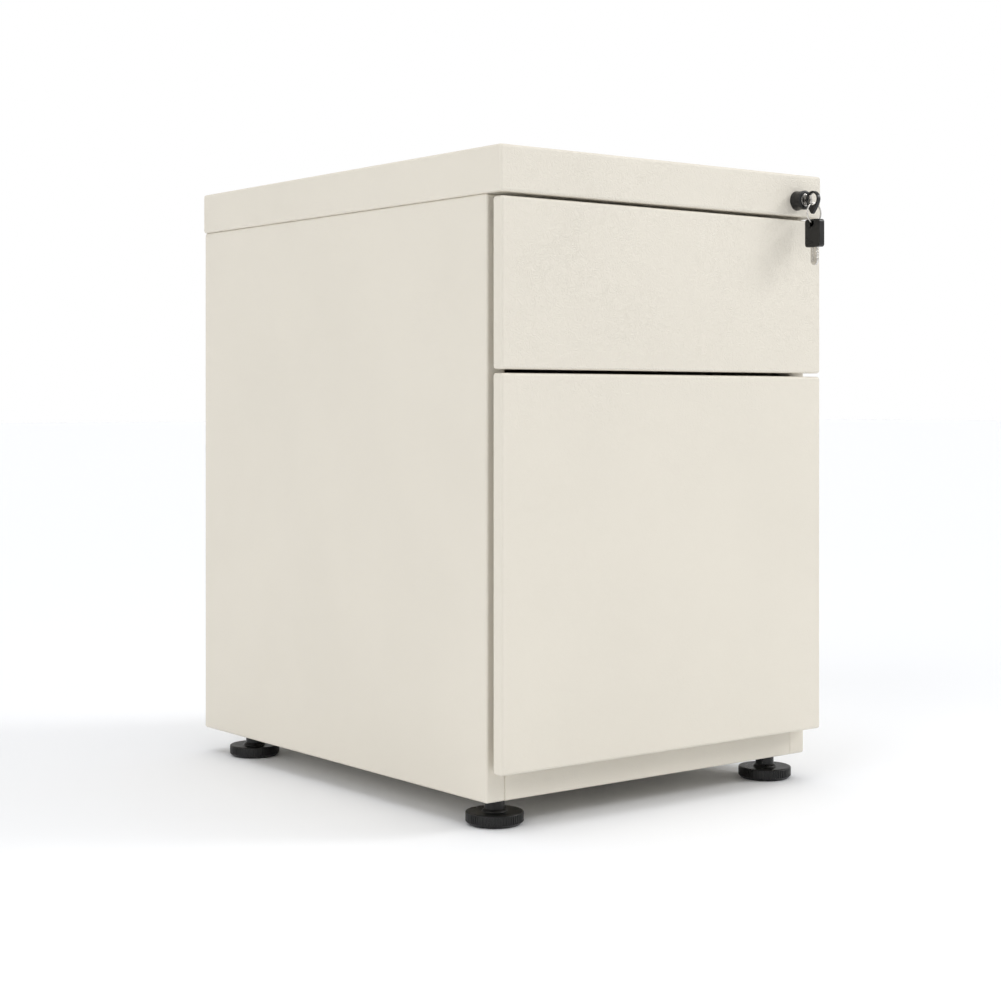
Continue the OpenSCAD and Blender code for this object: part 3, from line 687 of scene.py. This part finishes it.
class PEDESTAL_OT_fronts(bpy.types.Operator):
    """Folds the drawer fronts as pans with a hem turned in behind"""

    bl_idname = "pedestal.fronts"
    bl_label = "Drawer fronts"

    def execute(self, context):
        hem = sizes().hem
        for drawer in ("upper", "lower"):
            node = f"{drawer}_front_skin"
            low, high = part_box(node)
            bm = folded_box(low, high, sizes().bend_radius, 6)
            cut_window(bm, Y, high.y, (low.x + hem, low.z + hem), (high.x - hem, high.z - hem))
            thicken(bm, sizes().panel_sheet)
            add_piece(bm, f"{drawer}_front_pan", f"{drawer}_drawer", "cream_powder_coat",
                      node, edge=0.2 * MM)
        return {"FINISHED"}


class PEDESTAL_OT_boxes(bpy.types.Operator):
    """Folds the drawer boxes with rolled top edges, and their backs"""

    bl_idname = "pedestal.boxes"
    bl_label = "Drawer boxes"

    def execute(self, context):
        for drawer in ("upper", "lower"):
            self.tray(drawer)
            self.back(drawer)
        return {"FINISHED"}

    def tray(self, drawer):
        node = f"{drawer}_drawer_tray"
        low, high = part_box(node)
        sheet = sizes().box_sheet
        roll = 2.2 * MM
        turn_down = 7 * MM
        path = [
            (low.x + roll, high.z - turn_down), (low.x + roll, high.z), (low.x, high.z),
            (low.x, low.z), (high.x, low.z), (high.x, high.z),
            (high.x - roll, high.z), (high.x - roll, high.z - turn_down)]
        bm = bmesh.new()
        folded_strip(bm, Y, low.y, high.y, path, 1.05 * MM, sheet * 0.9)
        wall_top = high.z - 1 * MM
        add_box(bm, (low.x + sheet, low.y, low.z + sheet),
                (high.x - sheet, low.y + sheet, wall_top))
        nodes = [node, "upper_box_front"] if drawer == "upper" else [node]
        add_piece(bm, f"{drawer}_tray_shell", f"{drawer}_drawer", "cream_powder_coat",
                  *nodes, edge=0.15 * MM)

    def back(self, drawer):
        node = f"{drawer}_drawer_back"
        low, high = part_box(node)
        bm = bmesh.new()
        path = [(low.y, high.z), (high.y, high.z), (high.y, low.z)]
        path.reverse()
        folded_strip(bm, X, low.x, high.x, path, 1.6 * MM, sizes().box_sheet)
        add_piece(bm, f"{drawer}_back_wall", f"{drawer}_drawer", "cream_powder_coat",
                  node, edge=0.15 * MM)


class PEDESTAL_OT_runners(bpy.types.Operator):
    """Rolls the runners' rails, each a channel that lies inside the next"""

    bl_idname = "pedestal.runners"
    bl_label = "Runners"

    def execute(self, context):
        for side in ("left", "right"):
            self.rail(side, f"upper_{side}_runner", "carcass", True)
            self.rail(side, f"upper_{side}_drawer_runner", "upper_drawer", False)
            self.rail(side, f"lower_{side}_outer_rail", "carcass", True)
            self.rail(side, f"lower_{side}_middle_rail", f"{side}_middle_rail", True)
            self.rail(side, f"lower_{side}_inner_rail", "lower_drawer", False)
        return {"FINISHED"}

    def rail(self, side, node, body, opens_inwards):
        """A channel whose web is on the cabinet's side if it opens inwards."""
        low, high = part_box(node)
        web_is_low = (side == "left") == opens_inwards
        web, lip = (low.x, high.x) if web_is_low else (high.x, low.x)
        path = [(lip, high.z), (web, high.z), (web, low.z), (lip, low.z)]
        if not web_is_low:
            path.reverse()
        bm = bmesh.new()
        folded_strip(bm, Y, low.y, high.y, path, 1.5 * MM, sizes().rail_sheet)
        add_piece(bm, f"{node}_channel", body, "zinc_plated_steel", node, edge=0.15 * MM)


# ---------------------------------------------------------------- lock and keys


def key_blade_mesh(length, width, thickness):
    """A key blade along +Z from the origin: round tip, cuts in its edge, a milled groove."""
    bm = bmesh.new()
    half = width / 2
    tip = 7
    outline = [(-half, 0.0), (half, 0.0)]
    cuts = ((0.30, 0.10), (0.42, 0.20), (0.54, 0.06), (0.66, 0.16))
    for at, depth in cuts:
        z = at * length
        outline += [(half, z - 0.9 * MM), (half - depth * width, z - 0.25 * MM),
                    (half - depth * width, z + 0.25 * MM), (half, z + 0.9 * MM)]
    for step in range(tip + 1):
        angle = math.pi * step / tip
        outline.append((half * math.cos(angle), length - half + half * math.sin(angle)))
    verts = [bm.verts.new((-thickness / 2, y, z)) for y, z in outline]
    draw_out(bm, [bm.faces.new(verts)], (thickness, 0, 0))
    bmesh.ops.recalc_face_normals(bm, faces=bm.faces[:])
    groove_depth = thickness * 0.22
    for at, way in ((-thickness / 2, 1), (thickness / 2, -1)):
        near, far = (-0.18, 0.06) if way > 0 else (-0.06, 0.18)
        groove = mark_out(bm, X, at, (near * width, -1.0), (far * width, length - half * 0.8))
        sink(bm, groove, (way * groove_depth, 0, 0))
    return bm


class PEDESTAL_OT_lock(bpy.types.Operator):
    """Turns the lock barrel and its core, and cuts the keyway"""

    bl_idname = "pedestal.lock"
    bl_label = "Lock"

    def execute(self, context):
        self.barrel()
        self.core()
        return {"FINISHED"}

    def barrel(self):
        low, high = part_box("lock_barrel")
        centre = middle_of("lock_barrel")
        r = (high.x - low.x) / 2
        bore = (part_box("lock_core")[1].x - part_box("lock_core")[0].x) / 2 + 0.05 * MM
        front = low.y
        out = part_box("top_cover")[0].y - front
        body = r - 0.75 * MM
        depth = high.y - front
        profile = [
            (bore, depth), (bore, 0.7 * MM), (bore + 0.25 * MM, 0.25 * MM),
            (bore + 0.6 * MM, 0.0), (r - 1.5 * MM, 0.0), (r - 0.8 * MM, 0.15 * MM),
            (r - 0.35 * MM, 0.55 * MM), (r - 0.15 * MM, 1.2 * MM), (r - 0.15 * MM, 2.2 * MM),
            (r - 0.35 * MM, out * 0.35), (r - 0.55 * MM, out * 0.5), (r - 0.45 * MM, out * 0.68),
            (r - 0.15 * MM, out * 0.85), (r, out - 0.9 * MM), (r, out), (body, out),
            (body, depth), (bore, depth)]
        bm = bmesh.new()
        lathe(bm, profile, facing((centre.x, front, centre.z), (0, 1, 0)), steps=64)
        add_piece(bm, "barrel_shell", "carcass", "black_plastic", "lock_barrel", sharp=50)

    def core(self):
        low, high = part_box("lock_core")
        centre = (low + high) / 2
        r = (high.x - low.x) / 2
        blade_low, blade_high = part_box("key_blade")
        play = 0.3 * MM
        bm = bmesh.new()
        face = Matrix.Translation((centre.x, low.y, centre.z)) @ Matrix.Rotation(
            math.pi / 2, 4, "X")
        bmesh.ops.create_circle(
            bm, segments=48, radius=r, cap_ends=True,
            matrix=face @ Matrix.Rotation(math.pi / 4, 4, "Z"))
        draw_out(bm, bm.faces[:], (0, high.y - low.y, 0))
        bmesh.ops.recalc_face_normals(bm, faces=bm.faces[:])
        rim = [e for e in bm.edges if all(abs(v.co.y - low.y) < TINY for v in e.verts)]
        bevel_edges(bm, rim, 0.4 * MM, 3)
        way = mark_out(bm, Y, low.y,
                       (blade_low.x - play, blade_low.z - play),
                       (blade_high.x + play, blade_high.z + play))
        sink(bm, way, (0, blade_high.y + play - low.y, 0))
        add_piece(bm, "core_plug", "lock_core", "nickel_plate", "lock_core", sharp=40)


class PEDESTAL_OT_keys(bpy.types.Operator):
    """Makes the fixed key, the split ring and the spare key"""

    bl_idname = "pedestal.keys"
    bl_label = "Keys and ring"

    def execute(self, context):
        self.fixed_blade()
        self.bow()
        self.ring()
        self.spare_blade()
        self.spare_head()
        return {"FINISHED"}

    def fixed_blade(self):
        low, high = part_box("key_blade")
        bm = key_blade_mesh(high.y - low.y, high.z - low.z, high.x - low.x)
        # +Z of the blade goes to +Y, its cut edge (+Y) to +Z
        turn = Matrix(((1, 0, 0, 0), (0, 0, 1, 0), (0, 1, 0, 0), (0, 0, 0, 1)))
        place = Matrix.Translation(((low.x + high.x) / 2, low.y, (low.z + high.z) / 2))
        bmesh.ops.transform(bm, matrix=place @ turn, verts=bm.verts[:])
        add_piece(bm, "fixed_key_blade", "key", "nickel_plate", "key_blade", edge=0.12 * MM)

    def bow(self):
        """A teardrop ring: a circle whose lowest points are drawn down to a tail."""
        low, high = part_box("key_bow")
        r = (high.y - low.y) / 2
        rim = 2 * MM
        centre = Vector(((low.x + high.x) / 2, (low.y + high.y) / 2, high.z - r))
        tail = centre.z - low.z - r
        half = (high.x - low.x) / 2
        segments = 64
        upright = Matrix.Rotation(math.pi / 2, 4, "Y")
        bm = bmesh.new()
        outer = bmesh.ops.create_circle(bm, segments=segments, radius=r, matrix=upright)
        spread = math.radians(62)
        for vert in outer["verts"]:
            angle = abs(math.atan2(vert.co.y, -vert.co.z))
            if angle < spread:
                pull = (1 - angle / spread) ** 1.25
                vert.co.z -= tail * pull
                vert.co.y += 0.5 * MM * pull
        inner = bmesh.ops.create_circle(bm, segments=segments, radius=r - rim, matrix=upright)
        edges = list({e for v in outer["verts"] + inner["verts"] for e in v.link_edges})
        bmesh.ops.bridge_loops(bm, edges=edges)
        bmesh.ops.translate(bm, verts=bm.verts[:], vec=(-half, 0, 0))
        draw_out(bm, bm.faces[:], (2 * half, 0, 0))
        bmesh.ops.recalc_face_normals(bm, faces=bm.faces[:])
        corners = [e for e in bm.edges if e.calc_face_angle(0) > math.radians(60)]
        bevel_edges(bm, corners, 0.75 * MM, 4)
        bmesh.ops.translate(bm, verts=bm.verts[:], vec=centre)
        add_piece(bm, "fixed_key_bow", "key", "black_plastic", "key_bow", sharp=60)

    def ring(self):
        """Two turns of wire, side by side, with their ends cut square."""
        low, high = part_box("split_ring")
        centre = (low + high) / 2
        wire = (high.y - low.y) / 2
        radius = (high.x - low.x) / 2 - wire / 2 - 0.25 * MM
        bm = bmesh.new()
        turns = 2
        steps = 72 * turns
        bmesh.ops.create_circle(
            bm, segments=12, radius=wire / 2, cap_ends=True,
            matrix=Matrix.Translation((radius, -wire / 2, 0)))
        bmesh.ops.scale(bm, verts=bm.verts[:], vec=(1.5, 1.0, 1.0),
                        space=Matrix.Translation((-radius, 0, 0)))
        bmesh.ops.spin(
            bm, geom=bm.verts[:] + bm.edges[:] + bm.faces[:], cent=(0, 0, 0),
            axis=(0, 1, 0), dvec=(0, wire / steps, 0), angle=math.tau * turns * 0.995,
            steps=steps, use_merge=False, use_duplicate=False)
        start = math.radians(35)
        place = Matrix.Translation(centre) @ Matrix.Rotation(start, 4, "Y")
        bmesh.ops.transform(bm, matrix=place, verts=bm.verts[:])
        add_piece(bm, "key_ring_coil", "split_ring", "nickel_plate", "split_ring", sharp=50)

    def spare_blade(self):
        low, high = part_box("spare_key_blade")
        bm = key_blade_mesh(high.z - low.z, high.y - low.y, high.x - low.x)
        turn = Matrix.Rotation(math.pi, 4, "X")
        place = Matrix.Translation(((low.x + high.x) / 2, (low.y + high.y) / 2, high.z))
        bmesh.ops.transform(bm, matrix=place @ turn, verts=bm.verts[:])
        add_piece(bm, "hanging_key_blade", "spare_key", "nickel_plate", "spare_key_blade",
                  edge=0.12 * MM)

    def spare_head(self):
        low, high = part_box("spare_key_head")
        ring_y = middle_of("split_ring").y
        hole_r = 2.6 * MM
        hole_z = high.z - 1.6 * MM - hole_r
        bm = bmesh.new()
        add_box(bm, low, high)
        corners = [e for e in bm.edges if abs(e.verts[0].co.x - e.verts[1].co.x) > TINY]
        bevel_edges(bm, corners, 2.6 * MM, 6)
        for at in (low.x, high.x):
            cut_round_hole(bm, X, at, (ring_y, hole_z), hole_r, 24)
        holes = [e for e in bm.edges if e.is_boundary]
        bmesh.ops.bridge_loops(bm, edges=holes)
        bmesh.ops.recalc_face_normals(bm, faces=bm.faces[:])
        rims = [e for e in bm.edges if e.calc_face_angle(0) > math.radians(60)]
        bevel_edges(bm, rims, 0.55 * MM, 3)
        add_piece(bm, "hanging_key_head", "spare_key", "black_plastic", "spare_key_head",
                  sharp=60)


# ---------------------------------------------------------------- feet


class PEDESTAL_OT_feet(bpy.types.Operator):
    """Moulds the knurled feet and cuts the threads of their studs"""

    bl_idname = "pedestal.feet"
    bl_label = "Feet"

    def execute(self, context):
        for corner in ("front_left", "front_right", "back_left", "back_right"):
            self.pad(corner)
            self.stud(corner)
        return {"FINISHED"}

    def pad(self, corner):
        node = f"{corner}_foot_pad"
        low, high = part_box(node)
        centre = (low + high) / 2
        r = (high.x - low.x) / 2
        stem = 8.3 * MM
        bore = 4 * MM
        top = high.z - low.z
        rim = 10.5 * MM
        rim_low, rim_high = 2.7 * MM, rim - 0.9 * MM
        profile = [
            (0, 0.6 * MM), (r - 9 * MM, 0.6 * MM), (r - 8.4 * MM, 0), (r - 3 * MM, 0),
            (r - 2.5 * MM, 0.25 * MM), (r - 0.3 * MM, rim_low - 0.3 * MM), (r, rim_low),
            (r, rim_high), (r - 0.2 * MM, rim - 0.45 * MM), (r - 0.9 * MM, rim),
            (r - 3 * MM, rim + 0.05 * MM), (stem + 3.4 * MM, rim - 0.25 * MM),
            (stem + 2.3 * MM, rim), (stem + 2.0 * MM, rim + 0.5 * MM),
            (stem + 1.7 * MM, rim + 1.2 * MM), (stem + 0.7 * MM, rim + 1.9 * MM),
            (stem + 0.12 * MM, rim + 2.3 * MM), (stem, rim + 2.9 * MM),
            (stem, top - 0.4 * MM), (stem - 0.4 * MM, top), (bore, top), (bore, top - 6 * MM),
            (0, top - 6 * MM)]
        bm = bmesh.new()
        steps = sizes().knurls * 2
        lathe(bm, profile, Matrix.Translation((centre.x, centre.y, low.z)), steps=steps)
        self.knurl(bm, centre, r, rim_low, rim_high)
        add_piece(bm, f"{corner}_foot_moulding", f"{corner}_foot", "black_plastic", node,
                  sharp=40)

    def knurl(self, bm, centre, r, rim_low, rim_high):
        """Sinks every other facet of the rim."""
        def on_rim(face):
            return all(abs(math.hypot(v.co.x - centre.x, v.co.y - centre.y) - r) < 0.05 * MM
                       and rim_low - 0.05 * MM < v.co.z < rim_high + 0.05 * MM
                       for v in face.verts)

        def angle(face):
            middle = face.calc_center_median() - centre
            return math.atan2(middle.y, middle.x)

        facets = sorted((f for f in bm.faces if on_rim(f)), key=angle)
        grooves = facets[::2]
        bmesh.ops.inset_individual(bm, faces=grooves, thickness=0.18 * MM, depth=0.0)
        for face in grooves:
            inwards = centre - face.calc_center_median()
            inwards.z = 0
            bmesh.ops.translate(bm, verts=face.verts[:], vec=inwards.normalized() * 0.45 * MM)

    def stud(self, corner):
        node = f"{corner}_foot_stud"
        low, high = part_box(node)
        centre = (low + high) / 2
        r = (high.x - low.x) / 2
        pitch = 1.25 * MM
        depth = 0.65 * MM
        threads = int((high.z - low.z - 2 * MM) / pitch)
        profile = [(0, 0), (r - depth, 0), (r - depth, 0.4 * MM)]
        for turn in range(threads):
            z = 0.7 * MM + turn * pitch
            profile += [(r - depth, z), (r, z + pitch * 0.38), (r, z + pitch * 0.55)]
        top = high.z - low.z
        profile += [(r - depth, 0.7 * MM + threads * pitch), (r - depth, top - 0.2 * MM),
                    (r - depth - 0.4 * MM, top), (0, top)]
        bm = bmesh.new()
        lathe(bm, profile, Matrix.Translation((centre.x, centre.y, low.z)), steps=32)
        add_piece(bm, f"{corner}_threaded_stud", f"{corner}_foot", "zinc_plated_steel", node,
                  sharp=30)


# ---------------------------------------------------------------- CAD finishes, stage


class PEDESTAL_OT_finishes(bpy.types.Operator):
    """Gives every node of the frame its finish"""

    bl_idname = "pedestal.finishes"
    bl_label = "Finish the other parts"

    def execute(self, context):
        for row in frame["record"]["subparts"]:
            node = frame["nodes"][row["node"]]
            node.data.materials.clear()
            node.data.materials.append(finish_for(row["material_slot"]))
        return {"FINISHED"}


# strength of the white surround as a light; it looks fully white all the same
AMBIENT = 0.50
# each sun's name, where it comes from, its strength and its width in degrees
SUNS = (
    ("overhead light", (0.0, 0.05, 1.0), 1.36, 60.0),
    ("key light", (0.75, -0.45, 0.5), 0.80, 16.0),
    ("fill light", (-0.85, -0.2, 0.45), 0.74, 40.0))
LID_LIGHT_POWER = 2.0
LID_LIGHT_SIZE = 0.5
LID_LIGHT_FROM = Vector((0.75, -1.15, 0.95))
LID_LIGHT_AT = Vector((0.0, -0.22, 0.5))


def add_lamp(name, kind, energy, comes_from):
    """A light whose beam comes from a direction."""
    light = bpy.data.lights.new(name, kind)
    light.energy = energy
    lamp = bpy.data.objects.new(name, light)
    lamp.rotation_euler = Vector(comes_from).to_track_quat("Z", "Y").to_euler()
    bpy.context.scene.collection.objects.link(lamp)
    return lamp


class PEDESTAL_OT_stage(bpy.types.Operator):
    """Sets the pale floor, the soft light and the camera"""

    bl_idname = "pedestal.stage"
    bl_label = "Stage"

    def execute(self, context):
        self.floor()
        self.world()
        self.lights()
        self.camera()
        context.scene.view_settings.view_transform = "Standard"
        context.scene.view_settings.look = "None"
        return {"FINISHED"}

    def floor(self):
        bm = bmesh.new()
        bmesh.ops.create_grid(bm, x_segments=1, y_segments=1, size=30.0)
        mesh = bpy.data.meshes.new("floor")
        bm.to_mesh(mesh)
        bm.free()
        material, _, shader, _ = principled("pale_floor")
        shader.inputs["Base Color"].default_value = (0.89, 0.90, 0.92, 1.0)
        shader.inputs["Roughness"].default_value = 0.6
        shader.inputs["Specular IOR Level"].default_value = 0.15
        mesh.materials.append(material)
        floor = bpy.data.objects.new("floor", mesh)
        bpy.context.scene.collection.objects.link(floor)

    def world(self):
        """A white surround that lights the object less strongly than it looks."""
        world = bpy.data.worlds.new("studio")
        world.use_nodes = True
        tree = world.node_tree
        background = tree.nodes["Background"]
        background.inputs["Color"].default_value = (1.0, 1.0, 1.0, 1.0)
        seen = tree.nodes.new("ShaderNodeLightPath").outputs["Is Camera Ray"]
        strength = mapped(tree, seen, 0.0, 1.0, AMBIENT, 1.0)
        tree.links.new(strength, background.inputs["Strength"])
        bpy.context.scene.world = world

    def lights(self):
        for name, comes_from, strength, width in SUNS:
            sun = add_lamp(name, "SUN", strength, comes_from)
            sun.data.angle = math.radians(width)
        lamp = add_lamp("lid light", "AREA", LID_LIGHT_POWER, LID_LIGHT_FROM - LID_LIGHT_AT)
        lamp.data.size = LID_LIGHT_SIZE
        lamp.location = LID_LIGHT_FROM

    def camera(self):
        data = bpy.data.cameras.new("camera")
        data.lens = 68.08
        data.sensor_width = 36.0
        data.shift_y = -0.0971
        data.dof.use_dof = False
        camera = bpy.data.objects.new("camera", data)
        camera.location = (-1.1044, -1.4071, 0.3438)
        camera.rotation_euler = (math.radians(90), 0.0, math.radians(-37.868))
        bpy.context.scene.collection.objects.link(camera)
        bpy.context.scene.camera = camera


class PEDESTAL_PT_panel(bpy.types.Panel):
    """Lists the pedestal's pieces and its sizes and colours"""

    bl_idname = "PEDESTAL_PT_panel"
    bl_label = "Filing Pedestal"
    bl_space_type = "VIEW_3D"
    bl_region_type = "UI"
    bl_category = "Pedestal"

    def draw(self, context):
        layout = self.layout
        for group in (context.scene.pedestal_sizes, context.scene.pedestal_colours):
            box = layout.box()
            for name in group.__annotations__:
                box.prop(group, name)
        for operator in OPERATORS:
            layout.operator(operator.bl_idname)


OPERATORS = (
    PEDESTAL_OT_cover, PEDESTAL_OT_panels, PEDESTAL_OT_fasteners, PEDESTAL_OT_fronts,
    PEDESTAL_OT_boxes, PEDESTAL_OT_runners, PEDESTAL_OT_lock, PEDESTAL_OT_keys,
    PEDESTAL_OT_feet, PEDESTAL_OT_finishes, PEDESTAL_OT_stage)
CLASSES = (PedestalSizes, PedestalColours, *OPERATORS, PEDESTAL_PT_panel)


def register():
    for cls in CLASSES:
        bpy.utils.register_class(cls)
    bpy.types.Scene.pedestal_sizes = bpy.props.PointerProperty(type=PedestalSizes)
    bpy.types.Scene.pedestal_colours = bpy.props.PointerProperty(type=PedestalColours)


def unregister():
    del bpy.types.Scene.pedestal_colours
    del bpy.types.Scene.pedestal_sizes
    for cls in reversed(CLASSES):
        bpy.utils.unregister_class(cls)


def main():
    register()
    for operator in OPERATORS:
        group, name = operator.bl_idname.split(".")
        getattr(getattr(bpy.ops, group), name)()


if __name__ == "__main__":
    main()
